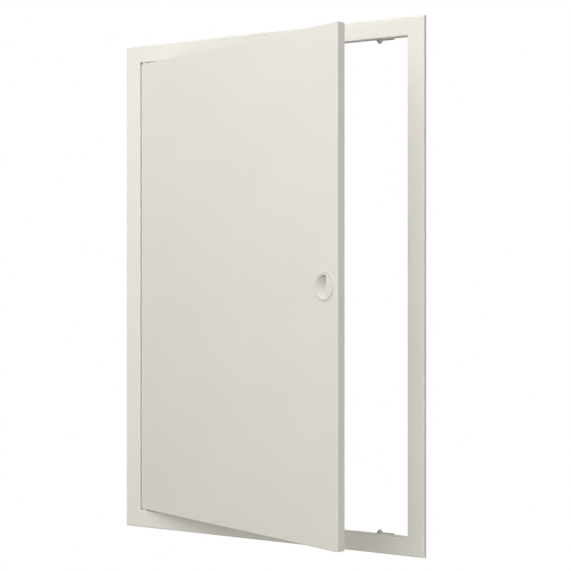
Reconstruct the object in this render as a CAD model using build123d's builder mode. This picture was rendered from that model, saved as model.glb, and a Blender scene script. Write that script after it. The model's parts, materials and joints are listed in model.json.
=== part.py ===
from build123d import *
from math import cos, radians, sin
import os

# Wall access panel: a folded sheet steel frame with a hinged pan door and a quarter turn latch.
# Millimetres. X runs to the right seen from the room, +Y goes into the wall, +Z is up.
# The origin is at the middle of the frame's lower edge, on the wall plane.

# Frame
FRAME_WIDTH = 420.0
FRAME_HEIGHT = 620.0
FLANGE_WIDTH = 21.5
WALL_RETURN = 4.5
LIP_DEPTH = 10.0
SHEET = 1.0
BEND_INNER_RADIUS = 0.5
FIXING_HOLE_RADIUS = 2.25
FIXING_HOLE_INSET = 110.0

# Door, shown ajar
DOOR_GAP = 2.0
DOOR_DEPTH = 10.6
DOOR_BEND_RADIUS = 1.15
DOOR_CORNER_EASE = 0.4
OPEN_ANGLE = 19.9

# Hinge pins and the bushes that carry the door on them
PIN_RADIUS = 1.5
PIN_HEAD_RADIUS = 2.4
PIN_HEAD_HEIGHT = 1.2
PIN_HEAD_CHAMFER = 0.5
PIN_TAIL = 3.0
PIN_TIP_CHAMFER = 0.5
PIN_HEAD_CLEARANCE = 0.1
PIN_SEAT_CLEARANCE = 0.04
RUNNING_CLEARANCE = 0.06
BUSH_RADIUS = 3.2
BUSH_END_CLEARANCE = 0.1
DOOR_SWING_CLEARANCE = 0.34

# Stop lugs behind the lips, and the blunt studs that stand just behind the closed door's edge
LUG_WIDTH = 23.0
LUG_INSET = 25.0
LUG_TAIL = 6.5
LUG_BEND_CLEARANCE = 0.5
LUG_CORNER_RADIUS = 3.0
STUD_FROM_LUG_END = 5.9
STUD_RADIUS = 4.2
STUD_TIP_RADIUS = 1.6
STUD_REACH = 4.4
STUD_SHANK_RADIUS = 2.0
STUD_HEAD_RADIUS = 3.0
STUD_HEAD_HEIGHT = 1.0
STUD_LIP_CLEARANCE = 0.2
STOP_CLEARANCE = 0.3

# Latch rotor
ROTOR_RADIUS = 14.8
ROTOR_CLEARANCE = 0.2
ROTOR_PROUD = 1.0
ROTOR_FLOOR = 1.2
NECK_RADIUS = 9.0
SCOOP_WALL = 3.4
SCOOP_RIM = 2.0
SCOOP_DRAFT = 5.4

# Latch bezel, barrel and nut
LATCH_EDGE_ROOM = 1.0
BEZEL_RIM = 1.3
BEZEL_PROUD = 1.2
BEZEL_CHAMFER = 0.6
BARREL_WALL = 1.4
BARREL_FIT = 0.2
REAR_RING = 1.2
KEY_WIDTH = 3.0
KEY_HEIGHT = 0.7
NUT_RING = 3.0
NUT_THICKNESS = 4.0
NUT_GRIPS = 8
NUT_GRIP_RADIUS = 3.0
NUT_THREAD_CLEARANCE = 0.05

# Latch cam and its screw
CAM_CLEARANCE = 0.6
CAM_THICKNESS = 2.0
CAM_HUB_RADIUS = 9.0
CAM_WIDTH = 14.0
CAM_HOOK = 2.5
CAM_TIP_RADIUS = 4.0
BOSS_SIDE = 7.0
BOSS_FIT = 0.1
BOSS_END_CLEARANCE = 0.2
SCREW_RADIUS = 2.0
SCREW_HEAD_RADIUS = 5.0
SCREW_HEAD_HEIGHT = 2.4
SCREW_HEAD_CHAMFER = 1.2
SCREW_THREAD_CLEARANCE = 0.05

# Frame and opening
FACE_Y = -WALL_RETURN
MID_HEIGHT = FRAME_HEIGHT / 2
BEND_RADIUS = SHEET + BEND_INNER_RADIUS
OPENING_WIDTH = FRAME_WIDTH - 2 * FLANGE_WIDTH
OPENING_HEIGHT = FRAME_HEIGHT - 2 * FLANGE_WIDTH
OPENING_LEFT = -OPENING_WIDTH / 2
OPENING_RIGHT = OPENING_WIDTH / 2
OPENING_TOP = FRAME_HEIGHT - FLANGE_WIDTH
LUG_Z = OPENING_TOP + SHEET
FIXING_HOLE_DEPTH = (BEND_RADIUS + LIP_DEPTH) / 2

# Hinge axis: just behind the flange's bend, and far enough in for the door's corner to swing past the lip
HINGE_SETBACK = BEND_RADIUS + PIN_HEAD_RADIUS + PIN_HEAD_CLEARANCE
HINGE_INSET = (HINGE_SETBACK**2 + DOOR_GAP**2 - DOOR_SWING_CLEARANCE**2) / (
    2 * (DOOR_GAP - DOOR_SWING_CLEARANCE)
)
HINGE_X = OPENING_LEFT + HINGE_INSET
HINGE_Y = FACE_Y + HINGE_SETBACK
PIN_LENGTH = SHEET + DOOR_GAP + SHEET + PIN_TAIL

# Door, measured across from the hinge axis
DOOR_WIDTH = OPENING_WIDTH - 2 * DOOR_GAP
DOOR_HEIGHT = OPENING_HEIGHT - 2 * DOOR_GAP
DOOR_CORNER_RADIUS = DOOR_BEND_RADIUS + DOOR_CORNER_EASE
DOOR_EDGE = DOOR_GAP - HINGE_INSET
DOOR_CENTRE = DOOR_EDGE + DOOR_WIDTH / 2

# Stops: the stud clears the lip's edge and the closed door's
STUD_DEPTH = max(LIP_DEPTH + STUD_LIP_CLEARANCE, DOOR_DEPTH + STOP_CLEARANCE) + STUD_RADIUS
LUG_LEFT = OPENING_RIGHT - LUG_INSET - LUG_WIDTH
LUG_START = BEND_RADIUS + LUG_BEND_CLEARANCE
LUG_LENGTH = STUD_DEPTH + LUG_TAIL - LUG_START

# Latch radii, and depths behind the door's face
BORE_RADIUS = ROTOR_RADIUS + ROTOR_CLEARANCE
BARREL_RADIUS = BORE_RADIUS + BARREL_WALL
BEZEL_RADIUS = BARREL_RADIUS + BEZEL_RIM
NUT_RADIUS = BARREL_RADIUS + NUT_RING
LATCH_INSET = SHEET + LATCH_EDGE_ROOM + NUT_RADIUS
LATCH_ACROSS = DOOR_EDGE + DOOR_WIDTH - LATCH_INSET
BARREL_END = max(DOOR_DEPTH, LIP_DEPTH)
CAM_FRONT = BARREL_END + CAM_CLEARANCE
CAM_BACK = CAM_FRONT + CAM_THICKNESS
CAM_REACH = LATCH_INSET + DOOR_GAP + SHEET + CAM_HOOK
BOSS_END = CAM_BACK - BOSS_END_CLEARANCE
ROTOR_BACK = BARREL_END - REAR_RING - ROTOR_CLEARANCE
SCOOP_FLOOR = ROTOR_BACK - ROTOR_FLOOR
SCOOP_RADIUS = ROTOR_RADIUS - SCOOP_RIM

# Directions of the open door: along its width, and out of its back
ALONG_DOOR = Vector(cos(radians(OPEN_ANGLE)), -sin(radians(OPEN_ANGLE)), 0)
BACK_OF_DOOR = Vector(sin(radians(OPEN_ANGLE)), cos(radians(OPEN_ANGLE)), 0)
INTO_WALL = Vector(0, 1, 0)
UP = Vector(0, 0, 1)
RIGHT = Vector(1, 0, 0)
MID_PLANE = Plane.XY.offset(MID_HEIGHT)


def on_door(across, behind, height):
    """Point of the open door: across from the hinge axis and behind the door's face."""
    hinge = Vector(HINGE_X, HINGE_Y, height)
    return hinge + ALONG_DOOR * across + BACK_OF_DOOR * (behind - HINGE_SETBACK)


def door_plane(across, behind):
    """Plane at the door's mid height that faces out of its front, with x along the door."""
    return Plane(origin=on_door(across, behind, MID_HEIGHT), x_dir=ALONG_DOOR, z_dir=-BACK_OF_DOOR)


LATCH_AXIS = Axis(on_door(LATCH_ACROSS, 0, MID_HEIGHT), BACK_OF_DOOR)
# Section through the latch: x is the radius, y the depth behind the door's face
LATCH_SECTION = Plane(origin=LATCH_AXIS.position, x_dir=ALONG_DOOR, z_dir=UP)


def folded_rail(start, inward, length, holes):
    """One side of the frame: wall return, flange and lip folded from sheet, mitred at both ends."""
    along = inward.cross(INTO_WALL)
    section = Plane(origin=start, x_dir=inward, z_dir=along)
    outline = Plane(origin=start, x_dir=along, z_dir=INTO_WALL)
    lip = Plane(origin=start + inward * FLANGE_WIDTH, x_dir=along, z_dir=inward)
    with BuildPart() as rail:
        with BuildSketch(section):
            with BuildLine():
                FilletPolyline(
                    (0, WALL_RETURN),
                    (0, 0),
                    (FLANGE_WIDTH, 0),
                    (FLANGE_WIDTH, LIP_DEPTH),
                    radius=BEND_RADIUS,
                )
                offset(amount=SHEET, side=Side.LEFT)
            make_face()
        extrude(amount=length)
        with BuildSketch(outline):
            with BuildLine():
                Polyline(
                    (0, 0),
                    (length, 0),
                    (length - FLANGE_WIDTH, FLANGE_WIDTH),
                    (FLANGE_WIDTH, FLANGE_WIDTH),
                    close=True,
                )
            make_face()
        extrude(amount=max(LIP_DEPTH, WALL_RETURN), mode=Mode.INTERSECT)
        with BuildSketch(lip):
            for distance, depth, radius in holes:
                with Locations((distance, -depth)):
                    Circle(radius)
        extrude(amount=-SHEET, mode=Mode.SUBTRACT)
    return rail


# Frame rails, mitred and welded at the corners
LEFT_EDGE = -FRAME_WIDTH / 2
RIGHT_EDGE = FRAME_WIDTH / 2
PIN_HOLE = PIN_RADIUS + PIN_SEAT_CLEARANCE
hinge_distance = FLANGE_WIDTH + HINGE_INSET
top_pin_hole = [(hinge_distance, HINGE_SETBACK, PIN_HOLE)]
bottom_pin_hole = [(FRAME_WIDTH - hinge_distance, HINGE_SETBACK, PIN_HOLE)]
fixing_holes = [
    (distance, FIXING_HOLE_DEPTH, FIXING_HOLE_RADIUS)
    for distance in (FIXING_HOLE_INSET, FRAME_HEIGHT - FIXING_HOLE_INSET)
]
frame_top_rail = folded_rail(Vector(LEFT_EDGE, FACE_Y, FRAME_HEIGHT), -UP, FRAME_WIDTH, top_pin_hole)
frame_bottom_rail = folded_rail(Vector(RIGHT_EDGE, FACE_Y, 0), UP, FRAME_WIDTH, bottom_pin_hole)
frame_hinge_rail = folded_rail(Vector(LEFT_EDGE, FACE_Y, 0), RIGHT, FRAME_HEIGHT, fixing_holes)
frame_lock_rail = folded_rail(Vector(RIGHT_EDGE, FACE_Y, FRAME_HEIGHT), -RIGHT, FRAME_HEIGHT, fixing_holes)

# Stop stud: a rivet whose tapered tip stands in the opening just behind the closed door's edge
stud_axis = Axis((LUG_LEFT + STUD_FROM_LUG_END, FACE_Y + STUD_DEPTH, LUG_Z), UP)

with BuildPart() as stop_stud_top:
    with BuildSketch(Plane(origin=stud_axis.position, x_dir=RIGHT, z_dir=-INTO_WALL)):
        with BuildLine():
            Polyline(
                (0, -STUD_REACH),
                (0, SHEET + STUD_HEAD_HEIGHT),
                (STUD_HEAD_RADIUS, SHEET + STUD_HEAD_HEIGHT),
                (STUD_HEAD_RADIUS, SHEET),
                (STUD_SHANK_RADIUS, SHEET),
                (STUD_SHANK_RADIUS, 0),
                (STUD_RADIUS, 0),
                (STUD_TIP_RADIUS, -STUD_REACH),
                close=True,
            )
        make_face()
    revolve(axis=stud_axis)

with BuildPart() as stop_stud_bottom:
    mirror(stop_stud_top.part, about=MID_PLANE)

# Stop lug: a plate welded on the lip's outer face that reaches back past it
with BuildPart() as stop_lug_top:
    with BuildSketch(Plane(origin=(LUG_LEFT, FACE_Y, LUG_Z), x_dir=RIGHT, z_dir=UP)) as lug_outline:
        with Locations((0, LUG_START)):
            Rectangle(LUG_WIDTH, LUG_LENGTH, align=Align.MIN)
        fillet(lug_outline.vertices().group_by(Axis.Y)[-1], radius=LUG_CORNER_RADIUS)
        with Locations((STUD_FROM_LUG_END, STUD_DEPTH)):
            Circle(STUD_SHANK_RADIUS, mode=Mode.SUBTRACT)
    extrude(amount=SHEET)

with BuildPart() as stop_lug_bottom:
    mirror(stop_lug_top.part, about=MID_PLANE)

# Hinge pin: headed, dropped through the lip and the door's edge
with BuildPart() as hinge_pin_top:
    with BuildSketch(Plane(origin=(HINGE_X, HINGE_Y, LUG_Z), x_dir=RIGHT, z_dir=UP)):
        Circle(PIN_HEAD_RADIUS)
    extrude(amount=PIN_HEAD_HEIGHT)
    chamfer(hinge_pin_top.faces().sort_by(Axis.Z)[-1].edges(), length=PIN_HEAD_CHAMFER)
    with BuildSketch(Plane(origin=(HINGE_X, HINGE_Y, LUG_Z), x_dir=RIGHT, z_dir=-UP)):
        Circle(PIN_RADIUS)
    extrude(amount=PIN_LENGTH)
    chamfer(hinge_pin_top.faces().sort_by(Axis.Z)[0].edges(), length=PIN_TIP_CHAMFER)

with BuildPart() as hinge_pin_bottom:
    mirror(hinge_pin_top.part, about=MID_PLANE)

# Hinge bush: a nylon ring on the pin that fills the gap between lip and door
with BuildPart() as hinge_bush_top:
    with BuildSketch(Plane(origin=(HINGE_X, HINGE_Y, OPENING_TOP), x_dir=RIGHT, z_dir=-UP)):
        Circle(BUSH_RADIUS)
        Circle(PIN_RADIUS + PIN_SEAT_CLEARANCE, mode=Mode.SUBTRACT)
    extrude(amount=DOOR_GAP - BUSH_END_CLEARANCE)

with BuildPart() as hinge_bush_bottom:
    mirror(hinge_bush_top.part, about=MID_PLANE)

# Door: a pan folded from one sheet, open at the back
with BuildPart() as door_pan:
    with BuildSketch(door_plane(DOOR_CENTRE, 0)):
        RectangleRounded(DOOR_WIDTH, DOOR_HEIGHT, DOOR_CORNER_RADIUS)
    extrude(amount=-DOOR_DEPTH)
    offset(amount=-SHEET, openings=door_pan.faces().sort_by(LATCH_AXIS)[-1])
    fillet(door_pan.faces().sort_by(LATCH_AXIS)[0].edges(), radius=DOOR_BEND_RADIUS)
    with BuildSketch(door_plane(LATCH_ACROSS, 0)):
        Circle(BARREL_RADIUS + BARREL_FIT)
        with Locations((0, -BARREL_RADIUS)):
            Rectangle(KEY_WIDTH + 2 * BARREL_FIT, 2 * (KEY_HEIGHT + BARREL_FIT))
    extrude(amount=-SHEET, mode=Mode.SUBTRACT)
    with BuildSketch(Plane(origin=(HINGE_X, HINGE_Y, 0))):
        Circle(PIN_RADIUS + RUNNING_CLEARANCE)
    extrude(amount=FRAME_HEIGHT, mode=Mode.SUBTRACT)

# Latch bezel: a ring on the door's face with a barrel through it, keyed against turning
with BuildPart() as latch_bezel:
    with BuildSketch(LATCH_SECTION) as ring_section:
        with BuildLine():
            Polyline(
                (BORE_RADIUS, -BEZEL_PROUD),
                (BEZEL_RADIUS, -BEZEL_PROUD),
                (BEZEL_RADIUS, 0),
                (BARREL_RADIUS, 0),
                (BARREL_RADIUS, BARREL_END),
                (NECK_RADIUS + ROTOR_CLEARANCE, BARREL_END),
                (NECK_RADIUS + ROTOR_CLEARANCE, BARREL_END - REAR_RING),
                (BORE_RADIUS, BARREL_END - REAR_RING),
                close=True,
            )
        make_face()
        chamfer(ring_section.vertices().group_by(Axis.Y)[0].sort_by(Axis.X)[-1], length=BEZEL_CHAMFER)
    revolve(axis=LATCH_AXIS)
    with BuildSketch(door_plane(LATCH_ACROSS, 0)):
        with Locations((0, -BARREL_RADIUS)):
            Rectangle(KEY_WIDTH, 2 * KEY_HEIGHT)
    extrude(amount=-SHEET)

# Latch nut: a grip ring that clamps the barrel to the back of the door's skin
with BuildPart() as latch_nut:
    with BuildSketch(door_plane(LATCH_ACROSS, SHEET)):
        Circle(NUT_RADIUS)
        Circle(BARREL_RADIUS + NUT_THREAD_CLEARANCE, mode=Mode.SUBTRACT)
        with PolarLocations(NUT_RADIUS + NUT_GRIP_RADIUS / 2, NUT_GRIPS):
            Circle(NUT_GRIP_RADIUS, mode=Mode.SUBTRACT)
    extrude(amount=-NUT_THICKNESS)

# Finger scoop: a drafted dish in the rotor's face, cut short by a straight wall for the finger to pull on
scoop_wall = on_door(LATCH_ACROSS + SCOOP_WALL, 0, MID_HEIGHT)

with BuildPart() as finger_scoop:
    with BuildSketch(LATCH_SECTION):
        with BuildLine():
            Polyline(
                (0, -ROTOR_PROUD),
                (SCOOP_RADIUS, -ROTOR_PROUD),
                (SCOOP_RADIUS - SCOOP_DRAFT, SCOOP_FLOOR),
                (0, SCOOP_FLOOR),
                close=True,
            )
        make_face()
    revolve(axis=LATCH_AXIS)
    split(bisect_by=Plane(origin=scoop_wall, x_dir=UP, z_dir=ALONG_DOOR), keep=Keep.BOTTOM)

# Latch rotor: a cup with the finger scoop in front and a square boss for the cam behind
with BuildPart() as latch_rotor:
    with BuildSketch(door_plane(LATCH_ACROSS, -ROTOR_PROUD)):
        Circle(ROTOR_RADIUS)
    extrude(amount=-(ROTOR_PROUD + ROTOR_BACK))
    with BuildSketch(door_plane(LATCH_ACROSS, ROTOR_BACK)):
        Circle(NECK_RADIUS)
    extrude(amount=ROTOR_BACK - CAM_FRONT)
    with BuildSketch(door_plane(LATCH_ACROSS, CAM_FRONT)):
        Rectangle(BOSS_SIDE, BOSS_SIDE)
    extrude(amount=CAM_FRONT - BOSS_END)
    add(finger_scoop.part, mode=Mode.SUBTRACT)
    with BuildSketch(door_plane(LATCH_ACROSS, ROTOR_BACK)):
        Circle(SCREW_RADIUS + SCREW_THREAD_CLEARANCE)
    extrude(amount=ROTOR_BACK - BOSS_END, mode=Mode.SUBTRACT)

# Latch cam: hangs down when unlocked, and turns behind the lock rail's lip
with BuildPart() as latch_cam:
    with BuildSketch(door_plane(LATCH_ACROSS, CAM_FRONT)) as cam_outline:
        Rectangle(CAM_WIDTH, CAM_REACH, align=(Align.CENTER, Align.MAX))
        fillet(cam_outline.vertices().group_by(Axis.Y)[0], radius=CAM_TIP_RADIUS)
        Circle(CAM_HUB_RADIUS)
        Rectangle(BOSS_SIDE + 2 * BOSS_FIT, BOSS_SIDE + 2 * BOSS_FIT, mode=Mode.SUBTRACT)
    extrude(amount=-CAM_THICKNESS)

# Cam screw: holds the cam on the rotor's boss
with BuildPart() as cam_screw:
    with BuildSketch(door_plane(LATCH_ACROSS, CAM_BACK)):
        Circle(SCREW_HEAD_RADIUS)
    extrude(amount=-SCREW_HEAD_HEIGHT)
    chamfer(cam_screw.faces().sort_by(LATCH_AXIS)[-1].edges(), length=SCREW_HEAD_CHAMFER)
    with BuildSketch(door_plane(LATCH_ACROSS, CAM_BACK)):
        Circle(SCREW_RADIUS)
    extrude(amount=CAM_BACK - ROTOR_BACK - SCREW_THREAD_CLEARANCE)

pieces = {
    "frame_top_rail": frame_top_rail,
    "frame_bottom_rail": frame_bottom_rail,
    "frame_hinge_rail": frame_hinge_rail,
    "frame_lock_rail": frame_lock_rail,
    "stop_lug_top": stop_lug_top,
    "stop_lug_bottom": stop_lug_bottom,
    "stop_stud_top": stop_stud_top,
    "stop_stud_bottom": stop_stud_bottom,
    "hinge_pin_top": hinge_pin_top,
    "hinge_pin_bottom": hinge_pin_bottom,
    "hinge_bush_top": hinge_bush_top,
    "hinge_bush_bottom": hinge_bush_bottom,
    "door_pan": door_pan,
    "latch_bezel": latch_bezel,
    "latch_nut": latch_nut,
    "latch_rotor": latch_rotor,
    "latch_cam": latch_cam,
    "cam_screw": cam_screw,
}

os.makedirs("parts", exist_ok=True)
for name, piece in pieces.items():
    piece.part.label = name
    export_step(piece.part, f"parts/{name}.step")
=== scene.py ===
import json
from math import cos, hypot, pi, radians, sin

import bpy
from bpy.props import FloatProperty, FloatVectorProperty, IntProperty, PointerProperty
from mathutils import Matrix, Vector


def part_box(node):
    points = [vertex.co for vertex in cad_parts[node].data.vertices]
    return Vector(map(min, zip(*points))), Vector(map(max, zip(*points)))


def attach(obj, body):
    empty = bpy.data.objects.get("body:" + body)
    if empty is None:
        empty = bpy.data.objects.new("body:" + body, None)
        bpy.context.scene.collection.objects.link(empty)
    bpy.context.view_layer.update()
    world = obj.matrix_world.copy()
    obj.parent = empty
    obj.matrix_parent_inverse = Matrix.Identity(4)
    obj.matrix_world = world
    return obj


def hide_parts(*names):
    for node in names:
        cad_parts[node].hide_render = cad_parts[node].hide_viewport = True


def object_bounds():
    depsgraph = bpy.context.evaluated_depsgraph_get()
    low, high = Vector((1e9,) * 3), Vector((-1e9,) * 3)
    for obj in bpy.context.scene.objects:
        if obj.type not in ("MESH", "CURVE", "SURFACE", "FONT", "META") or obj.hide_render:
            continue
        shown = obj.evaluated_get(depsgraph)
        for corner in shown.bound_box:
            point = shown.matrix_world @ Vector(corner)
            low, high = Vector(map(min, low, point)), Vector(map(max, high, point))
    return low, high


bl_info = {
    "name": "Wall Access Panel",
    "version": (1, 0, 0),
    "blender": (4, 5, 0),
    "location": "3D View > Sidebar > Access Panel",
    "description": "Finishes a folded steel access panel: coat, latch, hinge pins, stops, welds and stage",
    "category": "Object",
}

# The panel's frame: metres, X to the right seen from the room, +Y into the wall, +Z up
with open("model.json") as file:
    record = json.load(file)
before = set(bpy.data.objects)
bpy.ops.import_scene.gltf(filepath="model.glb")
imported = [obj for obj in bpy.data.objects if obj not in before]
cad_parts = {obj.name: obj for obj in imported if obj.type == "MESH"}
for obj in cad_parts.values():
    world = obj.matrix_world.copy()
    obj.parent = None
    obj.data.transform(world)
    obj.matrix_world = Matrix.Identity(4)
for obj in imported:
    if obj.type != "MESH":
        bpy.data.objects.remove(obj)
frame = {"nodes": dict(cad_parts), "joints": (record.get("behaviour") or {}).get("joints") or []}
CAD_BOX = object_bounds()
NODES = frame["nodes"]
JOINTS = {joint["name"]: joint for joint in frame["joints"]}

INTO_WALL = Vector((0, 1, 0))
UP = Vector((0, 0, 1))
FULL_TURN = 2 * pi

# Modelling steps shared by the pieces
SEED_SIZE = 0.001
SAME_POINT = 1e-6
ROUND_SEGMENTS = 6
LATCH_STEPS = 96
SMALL_STEPS = 48
SOFT_EDGE_ANGLE = radians(40)
SOFT_EDGE_SEGMENTS = 2
SMOOTH_ANGLE = radians(35)
CUT_OVERRUN = 0.001
CUT_SKIM = 0.00001
RIM_FLARE = 1.2
BEAD_SIDES = 16
BEAD_END_SCALE = 0.55
BEAD_VALLEY_SCALE = 0.86
FLOOR_SIDES = 128
LEVEL_VIEW = radians(90)

# Noise: the range that most of it stays in, and the layers in each shared effect
NOISE_LOW = 0.3
NOISE_HIGH = 0.7
MOTTLE_DETAIL = 3.0
GLOSS_DETAIL = 4.0
GRAIN_DETAIL = 1.0

SHEET_METAL_FINISHES = {
    "Powder coat": (
        "frame_top_rail", "frame_bottom_rail", "frame_hinge_rail", "frame_lock_rail", "door_pan",
    ),
    # The stop lugs get a darker grey: painted shade for the recess behind the frame's lips.
    "Lug primer": ("stop_lug_top", "stop_lug_bottom"),
}
LAMPS = ("key", "fill", "side", "back")


def framed(origin, direction, upright):
    """Place whose Z axis points along a direction and whose Y axis points along another square to it."""
    z_axis = Vector(direction).normalized()
    y_axis = Vector(upright).normalized()
    x_axis = y_axis.cross(z_axis)
    turn = Matrix((x_axis, y_axis, z_axis)).transposed().to_4x4()
    return Matrix.Translation(Vector(origin)) @ turn


def span(node, place, axis):
    """Lowest and highest reach of a CAD node along one axis of a place."""
    into_place = place.inverted()
    reaches = [(into_place @ vertex.co)[axis] for vertex in NODES[node].data.vertices]
    return min(reaches), max(reaches)


def middle(node):
    """Middle of a CAD node's box."""
    low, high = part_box(node)
    return (low + high) / 2


# Latch place: Z out of the door's front, Y up, from the latch's own axis
LATCH_PLACE = framed(JOINTS["latch_turn"]["pos_m"], -Vector(JOINTS["latch_turn"]["axis"]), UP)
BEZEL_RADIUS = span("latch_bezel", LATCH_PLACE, 1)[1]
BEZEL_BACK = span("latch_bezel", LATCH_PLACE, 2)[0]
ROTOR_RADIUS = span("latch_rotor", LATCH_PLACE, 1)[1]
BOSS_BACK, ROTOR_FRONT = span("latch_rotor", LATCH_PLACE, 2)
NUT_BACK, NUT_FRONT = span("latch_nut", LATCH_PLACE, 2)
CAM_TIP, CAM_TOP = span("latch_cam", LATCH_PLACE, 1)
CAM_BACK, CAM_FRONT = span("latch_cam", LATCH_PLACE, 2)
SCREW_BACK, SCREW_TIP = span("cam_screw", LATCH_PLACE, 2)


def length(name, default, description):
    """Length property in metres."""
    return FloatProperty(
        name=name, description=description, default=default, min=0.0, precision=5,
        unit="LENGTH", subtype="DISTANCE",
    )


def colour(name, default, description):
    """Linear colour property."""
    return FloatVectorProperty(
        name=name, description=description, default=default, min=0.0, max=1.0, size=3, subtype="COLOR"
    )


def location(name, default, description):
    """Location property in metres."""
    return FloatVectorProperty(
        name=name, description=description, default=default, size=3, subtype="TRANSLATION"
    )


def power(name, default, description):
    """Lamp power property in watts."""
    return FloatProperty(name=name, description=description, default=default, min=0.0, unit="POWER")


class PanelFinish(bpy.types.PropertyGroup):
    """Colours and surface sizes of the panel's materials."""

    coat: colour("Powder Coat", (0.800, 0.777, 0.722), "Warm off-white of the powder coat")
    coat_peel: length("Coat Peel", 0.0016, "Width of the coat's orange peel waves")
    coat_relief: length("Coat Relief", 0.000012, "Height of the coat's orange peel waves")
    # Painted shade: the lugs' darker grey stands in for the shade behind the frame's lips.
    lug: colour("Lug Painted Shade", (0.38, 0.370, 0.340), "Warm grey painted on the stop lugs as their shade")
    plastic: colour("Latch Plastic", (0.785, 0.763, 0.708), "White of the moulded latch")
    plastic_grain: length("Plastic Grain", 0.0005, "Width of the moulded plastic's spark grain")
    plastic_relief: length("Plastic Relief", 0.000010, "Depth of the moulded plastic's spark grain")
    nylon: colour("Nylon", (0.84, 0.83, 0.79), "Natural white of the hinge bushes")
    zinc: colour("Zinc Plate", (0.66, 0.67, 0.68), "Bright zinc plate of the cam, screw and pins")
    zinc_tint: colour("Passivate Tint", (0.64, 0.62, 0.56), "Faint yellow tint in the zinc's passivate")
    stud: colour("Stud Metal", (0.40, 0.39, 0.37), "Dull grey of the stop studs")


class LatchSizes(bpy.types.PropertyGroup):
    """Sizes of the quarter turn latch that its outline in the frame doesn't give."""

    bore_radius: length("Bore Radius", 0.0152, "Radius of the bezel's bore round the rotor")
    ring_height: length("Ring Height", 0.00040, "Height of the bezel's ring over the door at its bore")
    rim_height: length("Rim Height", 0.00030, "Height of the bezel's ring over the door at its outer rim")
    rim_round: length("Rim Rounding", 0.00025, "Rounding of the bezel's outer rim")
    groove_round: length("Groove Rounding", 0.0002, "Rounding of the two rims beside the groove")
    barrel_radius: length("Barrel Radius", 0.0164, "Radius of the threaded barrel behind the door's skin")
    thread_pitch: length("Thread Pitch", 0.0010, "Spacing of the barrel's threads")
    thread_depth: length("Thread Depth", 0.0005, "Depth of the barrel's threads")
    rear_ring: length("Rear Ring", 0.0012, "Thickness of the ring that holds the rotor in")
    rear_bore: length("Rear Bore", 0.0092, "Radius of the bore in the rear ring")
    rotor_depth: length("Rotor Depth", 0.0092, "Depth of the rotor's cup behind the door's face")
    neck_radius: length("Neck Radius", 0.0090, "Radius of the rotor's neck through the rear ring")
    scoop_rim: length("Scoop Rim", 0.0020, "Width of the rotor's rim round the finger scoop")
    scoop_wall: length("Scoop Wall", 0.0037, "Distance of the scoop's straight wall from the latch's axis")
    scoop_draft: length("Scoop Draft", 0.0010, "Lean of the scoop's round wall from rim to floor")
    scoop_depth: length("Scoop Depth", 0.0086, "Depth of the scoop's floor behind the door's face")
    scoop_blend: length("Scoop Blend", 0.0066, "Rounding between the scoop's wall and floor")
    scoop_lip: length("Scoop Lip", 0.00045, "Rounding of the scoop's rim")
    boss_side: length("Boss Side", 0.0070, "Width of the square boss that drives the cam")
    nut_radius: length("Nut Radius", 0.0194, "Radius of the grip nut")
    nut_bore: length("Nut Bore", 0.01645, "Radius of the grip nut's bore")
    nut_grips: IntProperty(
        name="Nut Grips", description="Number of hollows round the grip nut", default=8, min=3
    )
    nut_grip_radius: length("Nut Grip Radius", 0.0030, "Radius of each hollow round the grip nut")
    moulded_edge: length("Moulded Edge", 0.0004, "Rounding of the nut's moulded edges")
    cam_width: length("Cam Width", 0.0140, "Width of the cam's arm")
    cam_hole: length("Cam Hole", 0.0072, "Width of the cam's square hole")
    cam_tip_round: length("Cam Tip Rounding", 0.0040, "Rounding of the cam's two tip corners")
    stamped_edge: length("Stamped Edge", 0.00025, "Rounding of the cam's stamped edges")
    screw_head_radius: length("Screw Head Radius", 0.0050, "Radius of the cam screw's pan head")
    screw_head_round: length("Screw Head Rounding", 0.0016, "Rounding of the cam screw's pan head")
    screw_radius: length("Screw Radius", 0.0020, "Radius of the cam screw's shank")
    recess_width: length("Recess Width", 0.0012, "Width of the cross recess's slots")
    recess_reach: length("Recess Reach", 0.0056, "Length of the cross recess's slots")
    recess_depth: length("Recess Depth", 0.0014, "Depth of the cross recess")


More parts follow.
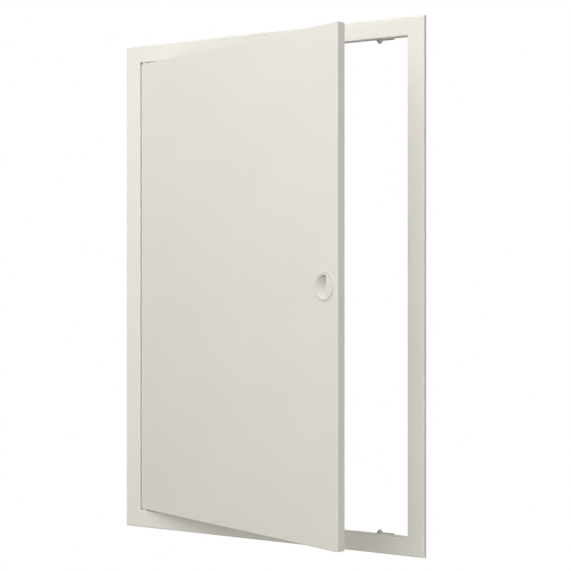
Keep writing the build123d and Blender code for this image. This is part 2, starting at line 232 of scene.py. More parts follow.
class FrameDetailSizes(bpy.types.PropertyGroup):
    """Sizes of the hinge pins, bushes, stop studs and welds."""

    sheet: length("Sheet", 0.0010, "Thickness of the folded sheet")
    flange: length("Flange", 0.0215, "Width of the frame's flange")
    pin_radius: length("Pin Radius", 0.0015, "Radius of a hinge pin's shank")
    pin_head_height: length("Pin Head Height", 0.0012, "Height of a hinge pin's head")
    pin_head_round: length("Pin Head Rounding", 0.0007, "Rounding of a hinge pin's head")
    pin_tip_round: length("Pin Tip Rounding", 0.0005, "Rounding of a hinge pin's tip")
    bush_bore: length("Bush Bore", 0.00154, "Radius of a hinge bush's bore")
    bush_round: length("Bush Rounding", 0.0003, "Rounding of a hinge bush's edges")
    stud_radius: length("Stud Radius", 0.0042, "Radius of a stop stud where it meets its lug")
    stud_tip_radius: length("Stud Tip Radius", 0.0016, "Radius of a stop stud's blunt tip")
    stud_tip_round: length("Stud Tip Rounding", 0.0012, "Rounding of a stop stud's tip")
    stud_head_radius: length("Stud Head Radius", 0.0030, "Radius of a stop stud's riveted head")
    stud_head_height: length("Stud Head Height", 0.0010, "Height of a stop stud's riveted head")
    stud_head_round: length("Stud Head Rounding", 0.0005, "Rounding of a stop stud's riveted head")
    stud_shank_radius: length("Stud Shank Radius", 0.0020, "Radius of a stop stud's shank in its lug")
    weld_width: length("Weld Width", 0.0034, "Width of a corner weld's bead")
    weld_height: length("Weld Height", 0.0008, "Height of a corner weld's bead over the sheet")
    weld_ripple: length("Weld Ripple", 0.0011, "Spacing of a corner weld's ripples")
    weld_margin: length("Weld Margin", 0.0016, "Distance of a corner weld from the folds at its ends")
    spot_radius: length("Spot Weld Radius", 0.0026, "Radius of a spot weld's mark")
    spot_crest: length("Spot Weld Crest", 0.00208, "Radius of the crest of a spot weld's raised rim")
    spot_height: length("Spot Weld Height", 0.00016, "Height of a spot weld's raised rim")
    spot_inset: length("Spot Weld Inset", 0.0055, "Distance of the spot welds from a lug's sides")


class StageSettings(bpy.types.PropertyGroup):
    """Camera, lamps, surroundings and floor."""

    camera_location: location("Camera", (0.8308, -1.4177, 0.3113), "Place of the camera")
    camera_yaw: FloatProperty(
        name="Camera Yaw", description="Turn of the level camera from looking straight at the wall",
        default=radians(30.22), subtype="ANGLE",
    )
    lens: FloatProperty(
        name="Lens", description="Focal length of the camera in millimetres", default=84.76, min=1.0
    )
    lens_shift: FloatProperty(name="Lens Shift", description="Sideways shift of the lens", default=0.0249)
    key_location: location("Key Lamp", (-0.3, -1.2, 1.6), "Place of the key lamp above the panel's front")
    key_size: length("Key Size", 1.8, "Side of the square key lamp")
    key_power: power("Key Power", 24.0, "Power of the key lamp")
    fill_location: location("Fill Lamp", (-0.3, -2.6, 0.7), "Place of the fill lamp before the panel")
    fill_size: length("Fill Size", 1.8, "Side of the square fill lamp")
    fill_power: power("Fill Power", 12.7, "Power of the fill lamp")
    side_location: location("Side Lamp", (1.9, -1.9, 0.1), "Place of the side lamp, on the lock side")
    side_size: length("Side Size", 1.5, "Side of the square side lamp")
    side_power: power("Side Power", 25.8, "Power of the side lamp")
    back_location: location("Back Lamp", (-1.9, 2.0, 0.75), "Place of the back lamp, behind the hinge side")
    back_size: length("Back Size", 1.5, "Side of the square back lamp")
    back_power: power("Back Power", 34.0, "Power of the back lamp")
    ambient: FloatProperty(name="Ambient", description="Strength of the even light", default=0.20, min=0.0)
    ambient_colour: colour("Ambient Colour", (1.0, 0.975, 0.90), "Warm tint of the even light")
    floor_drop: length("Floor Drop", 0.90, "Height of the panel's lower edge above the floor")
    floor_radius: length("Floor Radius", 2.6, "Radius of the round floor")
    floor_fade: length("Floor Fade", 0.9, "Width over which the floor's rim fades to white")
    floor_colour: colour("Floor", (0.25, 0.245, 0.235), "Warm grey that the floor throws back")
    floor_lift: FloatProperty(
        name="Floor Lift", description="White added to the floor as the camera sees it",
        default=0.78, min=0.0,
    )


def select_only(piece):
    """Selects one object and makes it the active one."""
    bpy.ops.object.select_all(action="DESELECT")
    piece.select_set(True)
    bpy.context.view_layer.objects.active = piece


def pick(piece, kind, test):
    """Selects in edit mode the vertices, or the edges whose both ends, pass a test of their place."""
    bpy.ops.mesh.select_mode(type=kind)
    bpy.ops.mesh.select_all(action="DESELECT")
    bpy.ops.object.mode_set(mode="OBJECT")
    mesh = piece.data
    if kind == "VERT":
        for vertex in mesh.vertices:
            vertex.select = test(vertex.co)
    else:
        for edge in mesh.edges:
            edge.select = all(test(mesh.vertices[index].co) for index in edge.vertices)
    bpy.ops.object.mode_set(mode="EDIT")


def near(point, other):
    """Whether two points are the same one."""
    return (point - other).length < SAME_POINT


def name_piece(name):
    """Names the object that the last primitive made."""
    piece = bpy.context.object
    piece.name = name
    piece.data.name = name
    return piece


def lathe(name, corners, steps):
    """Spins a profile of (radius, height, rounding) corners about Z.

    A profile that starts off the axis is closed first and makes a ring.
    """
    points = [Vector((radius, 0, height)) for radius, height, _ in corners]
    bpy.ops.object.select_all(action="DESELECT")
    bpy.ops.mesh.primitive_plane_add(size=SEED_SIZE)
    piece = name_piece(name)
    bpy.ops.object.mode_set(mode="EDIT")
    bpy.ops.mesh.select_all(action="SELECT")
    bpy.ops.mesh.merge(type="CENTER")
    bpy.ops.transform.translate(value=points[0])
    for start, end in zip(points, points[1:]):
        bpy.ops.mesh.extrude_vertices_move(TRANSFORM_OT_translate={"value": end - start})
    if points[0].x > 0:
        pick(piece, "VERT", lambda point: near(point, points[0]) or near(point, points[-1]))
        bpy.ops.mesh.edge_face_add()
    for rounding in sorted({corner[2] for corner in corners} - {0}):
        rounded = [point for point, corner in zip(points, corners) if corner[2] == rounding]
        pick(piece, "VERT", lambda point: any(near(point, corner) for corner in rounded))
        bpy.ops.mesh.bevel(offset=rounding, segments=ROUND_SEGMENTS, affect="VERTICES")
    bpy.ops.mesh.select_all(action="SELECT")
    bpy.ops.mesh.spin(steps=steps, angle=FULL_TURN, center=(0, 0, 0), axis=(0, 0, 1))
    close_up()
    return piece


def close_up():
    """Merges the doubles of the mesh in edit mode, turns its faces outwards and leaves edit mode."""
    bpy.ops.mesh.select_mode(type="VERT")
    bpy.ops.mesh.select_all(action="SELECT")
    bpy.ops.mesh.remove_doubles(threshold=SAME_POINT)
    bpy.ops.mesh.normals_make_consistent(inside=False)
    bpy.ops.object.mode_set(mode="OBJECT")


def block(name, low, high):
    """Box between two corners."""
    low, high = Vector(low), Vector(high)
    bpy.ops.object.select_all(action="DESELECT")
    bpy.ops.mesh.primitive_cube_add(size=1, location=(low + high) / 2)
    piece = name_piece(name)
    piece.scale = high - low
    bpy.ops.object.transform_apply(location=True, rotation=True, scale=True)
    return piece


def rod(name, x, y, low, high, radius):
    """Upright cylinder between two heights."""
    bpy.ops.object.select_all(action="DESELECT")
    bpy.ops.mesh.primitive_cylinder_add(
        vertices=SMALL_STEPS, radius=radius, depth=high - low, location=(x, y, (low + high) / 2)
    )
    piece = name_piece(name)
    bpy.ops.object.transform_apply(location=True, rotation=True, scale=True)
    return piece


def combine(piece, tool, operation):
    """Joins a tool shape to a piece, or cuts it away, and removes the tool."""
    select_only(piece)
    bpy.ops.object.modifier_add(type="BOOLEAN")
    modifier = piece.modifiers[-1]
    modifier.operation = operation
    modifier.object = tool
    bpy.ops.object.modifier_apply(modifier=modifier.name)
    bpy.data.objects.remove(tool)
    if not piece.data.polygons:
        raise RuntimeError(f"{piece.name} lost its faces")


def soften(piece, width):
    """Rounds a piece's sharp edges."""
    select_only(piece)
    bpy.ops.object.modifier_add(type="BEVEL")
    modifier = piece.modifiers[-1]
    modifier.width = width
    modifier.segments = SOFT_EDGE_SEGMENTS
    modifier.limit_method = "ANGLE"
    modifier.angle_limit = SOFT_EDGE_ANGLE
    bpy.ops.object.modifier_apply(modifier=modifier.name)


def seat(piece, place, body, slot, finish, *nodes):
    """Puts a piece modelled at the origin in its place, finishes it and ties it to its body."""
    select_only(piece)
    piece.matrix_world = place
    bpy.ops.object.transform_apply(location=True, rotation=True, scale=True)
    bpy.ops.object.shade_smooth_by_angle(angle=SMOOTH_ANGLE)
    piece.data.materials.append(bpy.data.materials[finish])
    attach(piece, body)
    if nodes:
        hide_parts(*nodes)


# Shared surface effects


def start_group(name, inputs, outputs):
    """New shader node group with named sockets, and its input and output nodes."""
    group = bpy.data.node_groups.new(name, "ShaderNodeTree")
    for label, kind in inputs:
        group.interface.new_socket(name=label, in_out="INPUT", socket_type=kind)
    for label, kind in outputs:
        group.interface.new_socket(name=label, in_out="OUTPUT", socket_type=kind)
    return group, group.nodes.new("NodeGroupInput"), group.nodes.new("NodeGroupOutput")


def sized_noise(group, entry, detail):
    """Noise whose waves have the width of the group's Size input."""
    per_metre = group.nodes.new("ShaderNodeMath")
    per_metre.operation = "DIVIDE"
    per_metre.inputs[0].default_value = 1.0
    group.links.new(entry.outputs["Size"], per_metre.inputs[1])
    noise = group.nodes.new("ShaderNodeTexNoise")
    noise.inputs["Detail"].default_value = detail
    group.links.new(entry.outputs["Vector"], noise.inputs["Vector"])
    group.links.new(per_metre.outputs[0], noise.inputs["Scale"])
    return noise


def spread(group, noise):
    """Stretches noise about its middle to the range between two values, which the caller links or sets."""
    spread_node = group.nodes.new("ShaderNodeMapRange")
    spread_node.inputs["From Min"].default_value = NOISE_LOW
    spread_node.inputs["From Max"].default_value = NOISE_HIGH
    group.links.new(noise.outputs["Fac"], spread_node.inputs["Value"])
    return spread_node


def make_mottle_group():
    """Drifts from one colour to another in soft patches."""
    group, entry, leave = start_group(
        "Mottle",
        (
            ("Vector", "NodeSocketVector"), ("Size", "NodeSocketFloat"),
            ("Colour", "NodeSocketColor"), ("Drift", "NodeSocketColor"),
        ),
        (("Colour", "NodeSocketColor"),),
    )
    patches = spread(group, sized_noise(group, entry, MOTTLE_DETAIL))
    mix = group.nodes.new("ShaderNodeMix")
    mix.data_type = "RGBA"
    first, second = (socket for socket in mix.inputs if socket.type == "RGBA")
    mixed = next(socket for socket in mix.outputs if socket.type == "RGBA")
    group.links.new(patches.outputs["Result"], mix.inputs[0])
    group.links.new(entry.outputs["Colour"], first)
    group.links.new(entry.outputs["Drift"], second)
    group.links.new(mixed, leave.inputs["Colour"])
    return group


def make_gloss_group():
    """Uneven gloss: roughness that wanders between two values."""
    group, entry, leave = start_group(
        "Gloss",
        (
            ("Vector", "NodeSocketVector"), ("Size", "NodeSocketFloat"),
            ("Low", "NodeSocketFloat"), ("High", "NodeSocketFloat"),
        ),
        (("Roughness", "NodeSocketFloat"),),
    )
    patches = spread(group, sized_noise(group, entry, GLOSS_DETAIL))
    group.links.new(entry.outputs["Low"], patches.inputs["To Min"])
    group.links.new(entry.outputs["High"], patches.inputs["To Max"])
    group.links.new(patches.outputs["Result"], leave.inputs["Roughness"])
    return group


def make_grain_group():
    """Fine even waves for a surface's relief."""
    group, entry, leave = start_group(
        "Grain",
        (("Vector", "NodeSocketVector"), ("Size", "NodeSocketFloat")),
        (("Height", "NodeSocketFloat"),),
    )
    noise = sized_noise(group, entry, GRAIN_DETAIL)
    group.links.new(noise.outputs["Fac"], leave.inputs["Height"])
    return group


def place_group(tree, group, coordinates, **values):
    """Puts a shared group in a material with its own values."""
    node = tree.nodes.new("ShaderNodeGroup")
    node.node_tree = bpy.data.node_groups[group]
    tree.links.new(coordinates.outputs["Object"], node.inputs["Vector"])
    for label, value in values.items():
        node.inputs[label].default_value = value
    return node


def shade(colour_value, brightness):
    """Colour with its brightness scaled, as the four numbers that a socket takes."""
    return (*(min(1.0, channel * brightness) for channel in colour_value), 1.0)


def surface(name, tone, drift, patch, gloss, gloss_patch, grain, relief, metallic=0.0, specular=0.5):
    """Material with colour that drifts in patches, uneven gloss and a fine relief."""
    material = bpy.data.materials.new(name)
    material.use_nodes = True
    tree = material.node_tree
    shader = tree.nodes["Principled BSDF"]
    shader.inputs["Metallic"].default_value = metallic
    shader.inputs["Specular IOR Level"].default_value = specular
    coordinates = tree.nodes.new("ShaderNodeTexCoord")
    mottle = place_group(tree, "Mottle", coordinates, Size=patch, Colour=(*tone, 1.0), Drift=drift)
    tree.links.new(mottle.outputs["Colour"], shader.inputs["Base Color"])
    sheen = place_group(tree, "Gloss", coordinates, Size=gloss_patch, Low=gloss[0], High=gloss[1])
    tree.links.new(sheen.outputs["Roughness"], shader.inputs["Roughness"])
    waves = place_group(tree, "Grain", coordinates, Size=grain)
    bump = tree.nodes.new("ShaderNodeBump")
    bump.inputs["Strength"].default_value = 1.0
    bump.inputs["Distance"].default_value = relief
    tree.links.new(waves.outputs["Height"], bump.inputs["Height"])
    tree.links.new(bump.outputs["Normal"], shader.inputs["Normal"])


def make_powder_coat(finish):
    """Satin powder coat on the sheet metal, with orange peel and a faint drift in its white."""
    surface(
        "Powder coat", tone=finish.coat, drift=shade(finish.coat, brightness=0.975), patch=0.09,
        gloss=(0.50, 0.64), gloss_patch=0.02, grain=finish.coat_peel, relief=finish.coat_relief,
        specular=0.15,
    )


def make_lug_painted_shade(finish):
    """Flat grey on the stop lugs: painted shade that stands in for the shade in the recess behind the
    frame's lips.
    """
    surface(
        "Lug primer", tone=finish.lug, drift=shade(finish.lug, brightness=1.12), patch=0.006,
        gloss=(0.60, 0.75), gloss_patch=0.004, grain=finish.coat_peel, relief=finish.coat_relief,
        specular=0.15,
    )


def make_latch_plastic(finish):
    """Moulded plastic with a fine spark grain."""
    surface(
        "Latch plastic", tone=finish.plastic, drift=shade(finish.plastic, brightness=0.965), patch=0.008,
        gloss=(0.48, 0.60), gloss_patch=0.004, grain=finish.plastic_grain, relief=finish.plastic_relief,
        specular=0.2,
    )


def make_nylon(finish):
    """Natural nylon, a little uneven."""
    surface(
        "Nylon", tone=finish.nylon, drift=shade(finish.nylon, brightness=0.94), patch=0.002,
        gloss=(0.42, 0.55), gloss_patch=0.001, grain=finish.plastic_grain, relief=finish.plastic_relief,
    )


def make_zinc_plate(finish):
    """Bright zinc plate with blotches of passivate and a spangled relief."""
    surface(
        "Zinc plate", tone=finish.zinc, drift=(*finish.zinc_tint, 1.0), patch=0.004,
        gloss=(0.28, 0.46), gloss_patch=0.0015, grain=finish.plastic_grain, relief=finish.plastic_relief,
        metallic=1.0,
    )


def make_stud_metal(finish):
    """Zinc gone dull and grey, as on the stop studs."""
    surface(
        "Stud metal", tone=finish.stud, drift=shade(finish.stud, brightness=0.85), patch=0.003,
        gloss=(0.52, 0.66), gloss_patch=0.001, grain=finish.plastic_grain, relief=finish.plastic_relief,
        metallic=1.0,
    )


class ACCESS_PANEL_OT_finish_sheet_metal(bpy.types.Operator):
    """Makes the materials and coats the frame's rails, the door and the stop lugs"""

    bl_idname = "access_panel.finish_sheet_metal"
    bl_label = "Finish Sheet Metal"

    def execute(self, context):
        finish = context.scene.panel_finish
        for make_group in (make_mottle_group, make_gloss_group, make_grain_group):
            make_group()
        for make_finish in (
            make_powder_coat, make_lug_painted_shade, make_latch_plastic,
            make_nylon, make_zinc_plate, make_stud_metal,
        ):
            make_finish(finish)
        for coat, nodes in SHEET_METAL_FINISHES.items():
            for node in nodes:
                NODES[node].data.materials.clear()
                NODES[node].data.materials.append(bpy.data.materials[coat])
        return {"FINISHED"}


class ACCESS_PANEL_OT_make_latch_bezel(bpy.types.Operator):
    """Turns the latch's bezel ring with its threaded barrel"""

    bl_idname = "access_panel.make_latch_bezel"
    bl_label = "Latch Bezel"

    def execute(self, context):
        sizes = context.scene.latch_sizes
        root_radius = sizes.barrel_radius - sizes.thread_depth
        turns = int((NUT_BACK - BEZEL_BACK) / sizes.thread_pitch)
        threads = []
        for turn in range(turns):
            crest = NUT_BACK - turn * sizes.thread_pitch
            threads.append((sizes.barrel_radius, crest, 0))
            threads.append((root_radius, crest - sizes.thread_pitch / 2, 0))
        bezel = lathe(
            "latch_bezel_ring",
            [
                (sizes.bore_radius, sizes.ring_height, sizes.groove_round),
                (BEZEL_RADIUS, sizes.rim_height, sizes.rim_round),
                (BEZEL_RADIUS, 0, 0),
                (sizes.barrel_radius, 0, 0),
                *threads,
                (root_radius, BEZEL_BACK, 0),
                (sizes.rear_bore, BEZEL_BACK, 0),
                (sizes.rear_bore, BEZEL_BACK + sizes.rear_ring, 0),
                (sizes.bore_radius, BEZEL_BACK + sizes.rear_ring, 0),
            ],
            LATCH_STEPS,
        )
        seat(bezel, LATCH_PLACE, "door", "latch_plastic", "Latch plastic", "latch_bezel")
        return {"FINISHED"}


class ACCESS_PANEL_OT_make_latch_nut(bpy.types.Operator):
    """Turns the grip nut and hollows its grips"""

    bl_idname = "access_panel.make_latch_nut"
    bl_label = "Latch Nut"

    def execute(self, context):
        sizes = context.scene.latch_sizes
        nut = lathe(
            "latch_grip_nut",
            [
                (sizes.nut_bore, NUT_FRONT, 0),
                (sizes.nut_radius, NUT_FRONT, 0),
                (sizes.nut_radius, NUT_BACK, 0),
                (sizes.nut_bore, NUT_BACK, 0),
            ],
            LATCH_STEPS,
        )
        grip_distance = sizes.nut_radius + sizes.nut_grip_radius / 2
        for grip in range(sizes.nut_grips):
            angle = FULL_TURN * grip / sizes.nut_grips
            hollow = rod(
                "grip_hollow", grip_distance * cos(angle), grip_distance * sin(angle),
                NUT_BACK - CUT_OVERRUN, NUT_FRONT + CUT_OVERRUN, sizes.nut_grip_radius,
            )
            combine(nut, hollow, "DIFFERENCE")
        soften(nut, sizes.moulded_edge)
        seat(nut, LATCH_PLACE, "door", "latch_plastic", "Latch plastic", "latch_nut")
        return {"FINISHED"}


class ACCESS_PANEL_OT_make_latch_rotor(bpy.types.Operator):
    """Turns the latch's rotor, sinks its finger scoop and adds the boss for the cam"""

    bl_idname = "access_panel.make_latch_rotor"
    bl_label = "Latch Rotor"

    def execute(self, context):
        sizes = context.scene.latch_sizes
        rotor = lathe(
            "latch_finger_rotor",
            [
                (0, ROTOR_FRONT, 0),
                (ROTOR_RADIUS, ROTOR_FRONT, sizes.groove_round),
                (ROTOR_RADIUS, -sizes.rotor_depth, 0),
                (sizes.neck_radius, -sizes.rotor_depth, 0),
                (sizes.neck_radius, CAM_FRONT, 0),
                (0, CAM_FRONT, 0),
            ],
            LATCH_STEPS,
        )
        half_boss = sizes.boss_side / 2
        boss = block(
            "boss", (-half_boss, -half_boss, BOSS_BACK), (half_boss, half_boss, CAM_FRONT + CUT_OVERRUN)
        )
        combine(rotor, boss, "UNION")
        combine(rotor, self.make_scoop(sizes), "DIFFERENCE")
        seat(rotor, LATCH_PLACE, "latch", "latch_plastic", "Latch plastic", "latch_rotor")
        return {"FINISHED"}

    def make_scoop(self, sizes):
        """Dish cut short by a straight wall, whose rounded rim flares out to the rotor's face."""
        radius = ROTOR_RADIUS - sizes.scoop_rim
        rim = ROTOR_FRONT + CUT_SKIM
        scoop = lathe(
            "scoop",
            [
                (0, rim, 0),
                (radius, rim, 0),
                (radius - sizes.scoop_draft, -sizes.scoop_depth, sizes.scoop_blend),
                (0, -sizes.scoop_depth, 0),
            ],
            LATCH_STEPS,
        )
        bpy.ops.object.mode_set(mode="EDIT")
        bpy.ops.mesh.select_all(action="SELECT")
        bpy.ops.mesh.bisect(
            plane_co=(sizes.scoop_wall, 0, 0), plane_no=(1, 0, 0), use_fill=True, clear_outer=True
        )
        pick(scoop, "VERT", lambda point: abs(point.z - rim) < SAME_POINT)
        bpy.ops.mesh.extrude_region_move(TRANSFORM_OT_translate={"value": (0, 0, 0)})
        bpy.ops.transform.resize(value=(RIM_FLARE, RIM_FLARE, 1))
        bpy.ops.mesh.extrude_region_move(TRANSFORM_OT_translate={"value": (0, 0, CUT_OVERRUN)})
        pick(
            scoop, "EDGE",
            lambda point: abs(point.z - rim) < SAME_POINT
            and hypot(point.x, point.y) < radius + SAME_POINT
            and point.x < sizes.scoop_wall + SAME_POINT,
        )
        bpy.ops.mesh.bevel(offset=sizes.scoop_lip, segments=ROUND_SEGMENTS, affect="EDGES")
        close_up()
        return scoop


class ACCESS_PANEL_OT_make_latch_cam(bpy.types.Operator):
    """Stamps the cam and sets its cross recessed screw"""

    bl_idname = "access_panel.make_latch_cam"
    bl_label = "Latch Cam and Screw"

    def execute(self, context):
        sizes = context.scene.latch_sizes
        half_width = sizes.cam_width / 2
        cam = block("latch_cam_plate", (-half_width, CAM_TIP, CAM_BACK), (half_width, 0, CAM_FRONT))
        bpy.ops.object.mode_set(mode="EDIT")
        for side in (-half_width, half_width):
            pick(
                cam, "EDGE",
                lambda point: abs(point.x - side) < SAME_POINT and abs(point.y - CAM_TIP) < SAME_POINT,
            )
            bpy.ops.mesh.bevel(offset=sizes.cam_tip_round, segments=2 * ROUND_SEGMENTS, affect="EDGES")
        close_up()
        combine(cam, rod("hub", 0, 0, CAM_BACK, CAM_FRONT, CAM_TOP), "UNION")
        half_hole = sizes.cam_hole / 2
        hole = block(
            "boss_hole",
            (-half_hole, -half_hole, CAM_BACK - CUT_OVERRUN),
            (half_hole, half_hole, CAM_FRONT + CUT_OVERRUN),
        )
        combine(cam, hole, "DIFFERENCE")
        soften(cam, sizes.stamped_edge)
        seat(cam, LATCH_PLACE, "latch", "zinc_steel", "Zinc plate", "latch_cam")

        screw = lathe(
            "cam_pan_screw",
            [
                (0, SCREW_TIP, 0),
                (sizes.screw_radius, SCREW_TIP, 0),
                (sizes.screw_radius, CAM_BACK, 0),
                (sizes.screw_head_radius, CAM_BACK, 0),
                (sizes.screw_head_radius, SCREW_BACK, sizes.screw_head_round),
                (0, SCREW_BACK, 0),
            ],
            SMALL_STEPS,
        )
        half_reach = sizes.recess_reach / 2
        half_slot = sizes.recess_width / 2
        recess_floor = SCREW_BACK + sizes.recess_depth
        for half_x, half_y in ((half_reach, half_slot), (half_slot, half_reach)):
            slot_mouth = SCREW_BACK - CUT_OVERRUN
            slot = block("slot", (-half_x, -half_y, slot_mouth), (half_x, half_y, recess_floor))
            combine(screw, slot, "DIFFERENCE")
        seat(screw, LATCH_PLACE, "latch", "zinc_steel", "Zinc plate", "cam_screw")
        return {"FINISHED"}


class ACCESS_PANEL_OT_make_hinge_pins(bpy.types.Operator):
    """Turns the two headed hinge pins and the nylon bushes under their lips"""

    bl_idname = "access_panel.make_hinge_pins"
    bl_label = "Hinge Pins and Bushes"

    def execute(self, context):
        sizes = context.scene.frame_detail_sizes
        for end, outwards in (("top", UP), ("bottom", -UP)):
            pin_place = framed(middle(f"hinge_pin_{end}"), outwards, INTO_WALL)
            tip, head = span(f"hinge_pin_{end}", pin_place, 2)
            head_radius = span(f"hinge_pin_{end}", pin_place, 0)[1]
            seat_height = head - sizes.pin_head_height
            pin = lathe(
                f"hinge_pin_turned_{end}",
                [
                    (0, head, 0),
                    (head_radius, head, sizes.pin_head_round),
                    (head_radius, seat_height, 0),
                    (sizes.pin_radius, seat_height, 0),
                    (sizes.pin_radius, tip, sizes.pin_tip_round),
                    (0, tip, 0),
                ],
                SMALL_STEPS,
            )
            seat(pin, pin_place, "frame", "pin_steel", "Zinc plate", f"hinge_pin_{end}")
            bush_place = framed(middle(f"hinge_bush_{end}"), outwards, INTO_WALL)
            bottom, top = span(f"hinge_bush_{end}", bush_place, 2)
            bush_radius = span(f"hinge_bush_{end}", bush_place, 0)[1]
            bush = lathe(
                f"hinge_bush_moulded_{end}",
                [
                    (sizes.bush_bore, top, 0),
                    (bush_radius, top, sizes.bush_round),
                    (bush_radius, bottom, sizes.bush_round),
                    (sizes.bush_bore, bottom, 0),
                ],
                SMALL_STEPS,
            )
            seat(bush, bush_place, "frame", "nylon", "Nylon", f"hinge_bush_{end}")
        return {"FINISHED"}


class ACCESS_PANEL_OT_make_stop_studs(bpy.types.Operator):
    """Turns the riveted stop studs and marks the lugs' spot welds"""

    bl_idname = "access_panel.make_stop_studs"
    bl_label = "Stop Studs and Spot Welds"

    def execute(self, context):
        sizes = context.scene.frame_detail_sizes
        for end, outwards in (("top", UP), ("bottom", -UP)):
            self.make_stud(sizes, end, outwards)
            self.mark_spot_welds(sizes, end, outwards)
        return {"FINISHED"}

    def make_stud(self, sizes, end, outwards):
        """Tapered stud with its shank through the lug and its riveted head outside."""
        place = framed(middle(f"stop_stud_{end}"), outwards, INTO_WALL)
        tip, head = span(f"stop_stud_{end}", place, 2)
        lug_outer = head - sizes.stud_head_height
        lug_inner = lug_outer - sizes.sheet
        stud = lathe(
            f"stop_stud_turned_{end}",
            [
                (0, head, 0),
                (sizes.stud_head_radius, head, sizes.stud_head_round),
                (sizes.stud_head_radius, lug_outer, 0),
                (sizes.stud_shank_radius, lug_outer, 0),
                (sizes.stud_shank_radius, lug_inner, 0),
                (sizes.stud_radius, lug_inner, 0),
                (sizes.stud_tip_radius, tip, sizes.stud_tip_round),
                (0, tip, 0),
            ],
            SMALL_STEPS,
        )
        seat(stud, place, "frame", "stud_metal", "Stud metal", f"stop_stud_{end}")

    def mark_spot_welds(self, sizes, end, outwards):
        """Two dimpled spot welds where the lug lies on the rail's lip."""
        low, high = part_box(f"stop_lug_{end}")
        surface_z = high.z if outwards.z > 0 else low.z
        weld_y = (low.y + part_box(f"frame_{end}_rail")[1].y) / 2
        for side, x in (("left", low.x + sizes.spot_inset), ("right", high.x - sizes.spot_inset)):
            mark = lathe(
                f"spot_weld_{end}_{side}",
                [
                    (0, 0, 0),
                    (sizes.spot_radius / 2, 0, 0),
                    (sizes.spot_crest, sizes.spot_height, sizes.spot_height),
                    (sizes.spot_radius, -sizes.spot_height, 0),
                    (0, -sizes.spot_height, 0),
                ],
                SMALL_STEPS,
            )
            place = framed((x, weld_y, surface_z), outwards, INTO_WALL)
            # The spot weld marks take the lugs' darker grey, which is painted shade like the lugs.
            seat(mark, place, "frame", "coated_steel", "Lug primer")


class ACCESS_PANEL_OT_make_corner_welds(bpy.types.Operator):
    """Lays the weld beads on the back of the frame's mitred corners"""

    bl_idname = "access_panel.make_corner_welds"
    bl_label = "Corner Welds"

    def execute(self, context):
        sizes = context.scene.frame_detail_sizes
        low, high = CAD_BOX
        rail_low, rail_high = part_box("frame_hinge_rail")
        back_of_flange = rail_low.y + sizes.sheet
        run = sizes.flange - 2 * sizes.sheet - 2 * sizes.weld_margin
        for end, z, z_way in (("bottom", rail_low.z, 1), ("top", rail_high.z, -1)):
            for side, x, x_way in (("left", low.x, 1), ("right", high.x, -1)):
                offset = sizes.sheet + sizes.weld_margin
                start = Vector((x + x_way * offset, back_of_flange, z + z_way * offset))
                along = Vector((x_way, 0, z_way))
                bead = self.lay_bead(f"corner_weld_{end}_{side}", sizes, run * along.length)
                seat(bead, framed(start, along, INTO_WALL), "frame", "coated_steel", "Powder coat")
        return {"FINISHED"}

    def lay_bead(self, name, sizes, run):
        """Bead along Z: a ring extruded from ripple to ripple, wider at each crest, then flattened."""
        ripples = round(run / sizes.weld_ripple)
        step = Vector((0, 0, run / (2 * ripples)))
        bpy.ops.object.select_all(action="DESELECT")
        bpy.ops.mesh.primitive_circle_add(
            vertices=BEAD_SIDES, radius=sizes.weld_width / 2 * BEAD_END_SCALE, fill_type="NGON"
        )
        bead = name_piece(name)
        bpy.ops.object.mode_set(mode="EDIT")
        scale = BEAD_END_SCALE
        for station in range(1, 2 * ripples + 1):
            next_scale = 1.0 if station % 2 else BEAD_VALLEY_SCALE
            if station == 2 * ripples:
                next_scale = BEAD_END_SCALE
            bpy.ops.mesh.extrude_region_move(TRANSFORM_OT_translate={"value": step})
            bpy.ops.transform.resize(value=(next_scale / scale, next_scale / scale, 1))
            scale = next_scale
        bpy.ops.mesh.select_all(action="SELECT")
        bpy.ops.transform.resize(value=(1, 2 * sizes.weld_height / sizes.weld_width, 1))
        close_up()
        return bead


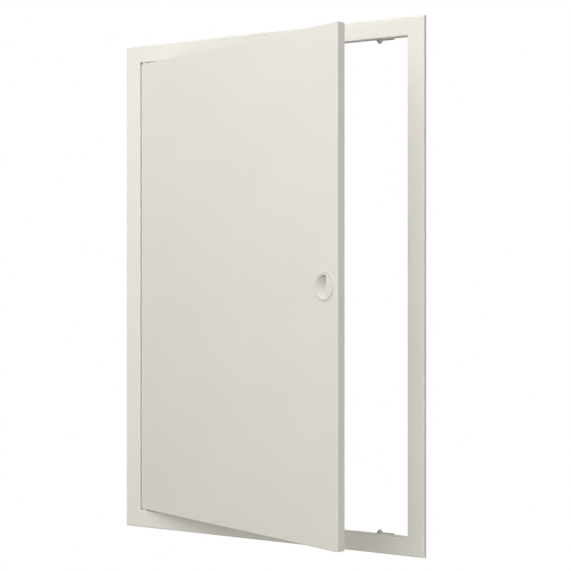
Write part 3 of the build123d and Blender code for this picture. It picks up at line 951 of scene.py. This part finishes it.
class ACCESS_PANEL_OT_set_stage(bpy.types.Operator):
    """Sets the floor, the surroundings, the lamps and the camera"""

    bl_idname = "access_panel.set_stage"
    bl_label = "Stage"

    def execute(self, context):
        stage = context.scene.stage_settings
        self.set_floor(stage)
        self.set_surroundings(context.scene, stage)
        self.set_lamps(stage)
        self.set_camera(context.scene, stage)
        context.scene.view_settings.view_transform = "Standard"
        return {"FINISHED"}

    def seen_directly(self, tree):
        """Value that is one on rays from the camera, also by reflection or through glass."""
        path = tree.nodes.new("ShaderNodeLightPath")
        seen = path.outputs["Is Camera Ray"]
        for ray in ("Is Glossy Ray", "Is Transmission Ray"):
            either = tree.nodes.new("ShaderNodeMath")
            either.operation = "MAXIMUM"
            tree.links.new(seen, either.inputs[0])
            tree.links.new(path.outputs[ray], either.inputs[1])
            seen = either.outputs[0]
        return seen

    def mix_shaders(self, tree, factor, first, second):
        """Mix of two shaders by a factor."""
        mix = tree.nodes.new("ShaderNodeMixShader")
        tree.links.new(factor, mix.inputs[0])
        tree.links.new(first.outputs[0], mix.inputs[1])
        tree.links.new(second.outputs[0], mix.inputs[2])
        return mix

    def set_floor(self, stage):
        """Round pale floor that keeps shadows and fades to white at its rim."""
        bpy.ops.object.select_all(action="DESELECT")
        bpy.ops.mesh.primitive_circle_add(
            vertices=FLOOR_SIDES, radius=stage.floor_radius, fill_type="NGON",
            location=(0, 0, -stage.floor_drop),
        )
        floor = name_piece("floor")
        bpy.ops.object.transform_apply(location=True, rotation=True, scale=True)
        floor_material = bpy.data.materials.new("Floor")
        floor_material.use_nodes = True
        tree = floor_material.node_tree
        tree.nodes.clear()
        diffuse = tree.nodes.new("ShaderNodeBsdfDiffuse")
        diffuse.inputs["Color"].default_value = (*stage.floor_colour, 1.0)
        lift = tree.nodes.new("ShaderNodeEmission")
        lift.inputs["Strength"].default_value = stage.floor_lift
        lifted = tree.nodes.new("ShaderNodeAddShader")
        tree.links.new(diffuse.outputs[0], lifted.inputs[0])
        tree.links.new(lift.outputs[0], lifted.inputs[1])
        white = tree.nodes.new("ShaderNodeEmission")
        white.inputs["Strength"].default_value = 1.0
        coordinates = tree.nodes.new("ShaderNodeTexCoord")
        flat = tree.nodes.new("ShaderNodeVectorMath")
        flat.operation = "MULTIPLY"
        flat.inputs[1].default_value = (1, 1, 0)
        tree.links.new(coordinates.outputs["Object"], flat.inputs[0])
        distance = tree.nodes.new("ShaderNodeVectorMath")
        distance.operation = "LENGTH"
        tree.links.new(flat.outputs["Vector"], distance.inputs[0])
        fade = tree.nodes.new("ShaderNodeMapRange")
        fade.interpolation_type = "SMOOTHSTEP"
        fade.inputs["From Min"].default_value = stage.floor_radius - stage.floor_fade
        fade.inputs["From Max"].default_value = stage.floor_radius
        tree.links.new(distance.outputs["Value"], fade.inputs["Value"])
        shown = self.mix_shaders(tree, fade.outputs["Result"], lifted, white)
        both = self.mix_shaders(tree, self.seen_directly(tree), diffuse, shown)
        output = tree.nodes.new("ShaderNodeOutputMaterial")
        tree.links.new(both.outputs[0], output.inputs["Surface"])
        floor.data.materials.append(floor_material)

    def set_surroundings(self, scene, stage):
        """Even light from all round, seen as white."""
        world = bpy.data.worlds.new("Studio")
        world.use_nodes = True
        tree = world.node_tree
        tree.nodes.clear()
        even = tree.nodes.new("ShaderNodeBackground")
        even.inputs["Color"].default_value = (*stage.ambient_colour, 1.0)
        even.inputs["Strength"].default_value = stage.ambient
        white = tree.nodes.new("ShaderNodeBackground")
        white.inputs["Color"].default_value = (1, 1, 1, 1)
        both = self.mix_shaders(tree, self.seen_directly(tree), even, white)
        output = tree.nodes.new("ShaderNodeOutputWorld")
        tree.links.new(both.outputs[0], output.inputs["Surface"])
        scene.world = world

    def set_lamps(self, stage):
        """Large soft lamps aimed at the panel's middle."""
        low, high = CAD_BOX
        for name in LAMPS:
            place = Vector(getattr(stage, f"{name}_location"))
            aim = (low + high) / 2 - place
            bpy.ops.object.light_add(
                type="AREA", location=place, rotation=aim.to_track_quat("-Z", "Y").to_euler()
            )
            lamp = bpy.context.object
            lamp.name = f"{name}_lamp"
            lamp.data.size = getattr(stage, f"{name}_size")
            lamp.data.energy = getattr(stage, f"{name}_power")

    def set_camera(self, scene, stage):
        """Level camera to the right of the panel."""
        bpy.ops.object.camera_add(
            location=stage.camera_location, rotation=(LEVEL_VIEW, 0, stage.camera_yaw)
        )
        camera = bpy.context.object
        camera.name = "camera"
        camera.data.lens = stage.lens
        camera.data.shift_x = stage.lens_shift
        scene.camera = camera


class ACCESS_PANEL_PT_sidebar(bpy.types.Panel):
    """Lists the panel's pieces and stage"""

    bl_idname = "ACCESS_PANEL_PT_sidebar"
    bl_label = "Access Panel"
    bl_space_type = "VIEW_3D"
    bl_region_type = "UI"
    bl_category = "Access Panel"

    def draw(self, context):
        for operator in OPERATORS:
            self.layout.operator(operator.bl_idname)


PROPERTY_GROUPS = {
    "panel_finish": PanelFinish,
    "latch_sizes": LatchSizes,
    "frame_detail_sizes": FrameDetailSizes,
    "stage_settings": StageSettings,
}
OPERATORS = (
    ACCESS_PANEL_OT_finish_sheet_metal,
    ACCESS_PANEL_OT_make_latch_bezel,
    ACCESS_PANEL_OT_make_latch_nut,
    ACCESS_PANEL_OT_make_latch_rotor,
    ACCESS_PANEL_OT_make_latch_cam,
    ACCESS_PANEL_OT_make_hinge_pins,
    ACCESS_PANEL_OT_make_stop_studs,
    ACCESS_PANEL_OT_make_corner_welds,
    ACCESS_PANEL_OT_set_stage,
)
CLASSES = (*PROPERTY_GROUPS.values(), *OPERATORS, ACCESS_PANEL_PT_sidebar)


def register():
    """Registers the classes and hangs the property groups on the scene."""
    for registered in CLASSES:
        bpy.utils.register_class(registered)
    for name, group in PROPERTY_GROUPS.items():
        setattr(bpy.types.Scene, name, PointerProperty(type=group))


def unregister():
    """Takes the property groups and the classes away again."""
    for name in PROPERTY_GROUPS:
        delattr(bpy.types.Scene, name)
    for registered in reversed(CLASSES):
        bpy.utils.unregister_class(registered)


def main():
    """Makes every piece and the stage."""
    register()
    bpy.ops.access_panel.finish_sheet_metal()
    bpy.ops.access_panel.make_latch_bezel()
    bpy.ops.access_panel.make_latch_nut()
    bpy.ops.access_panel.make_latch_rotor()
    bpy.ops.access_panel.make_latch_cam()
    bpy.ops.access_panel.make_hinge_pins()
    bpy.ops.access_panel.make_stop_studs()
    bpy.ops.access_panel.make_corner_welds()
    bpy.ops.access_panel.set_stage()


if __name__ == "__main__":
    main()
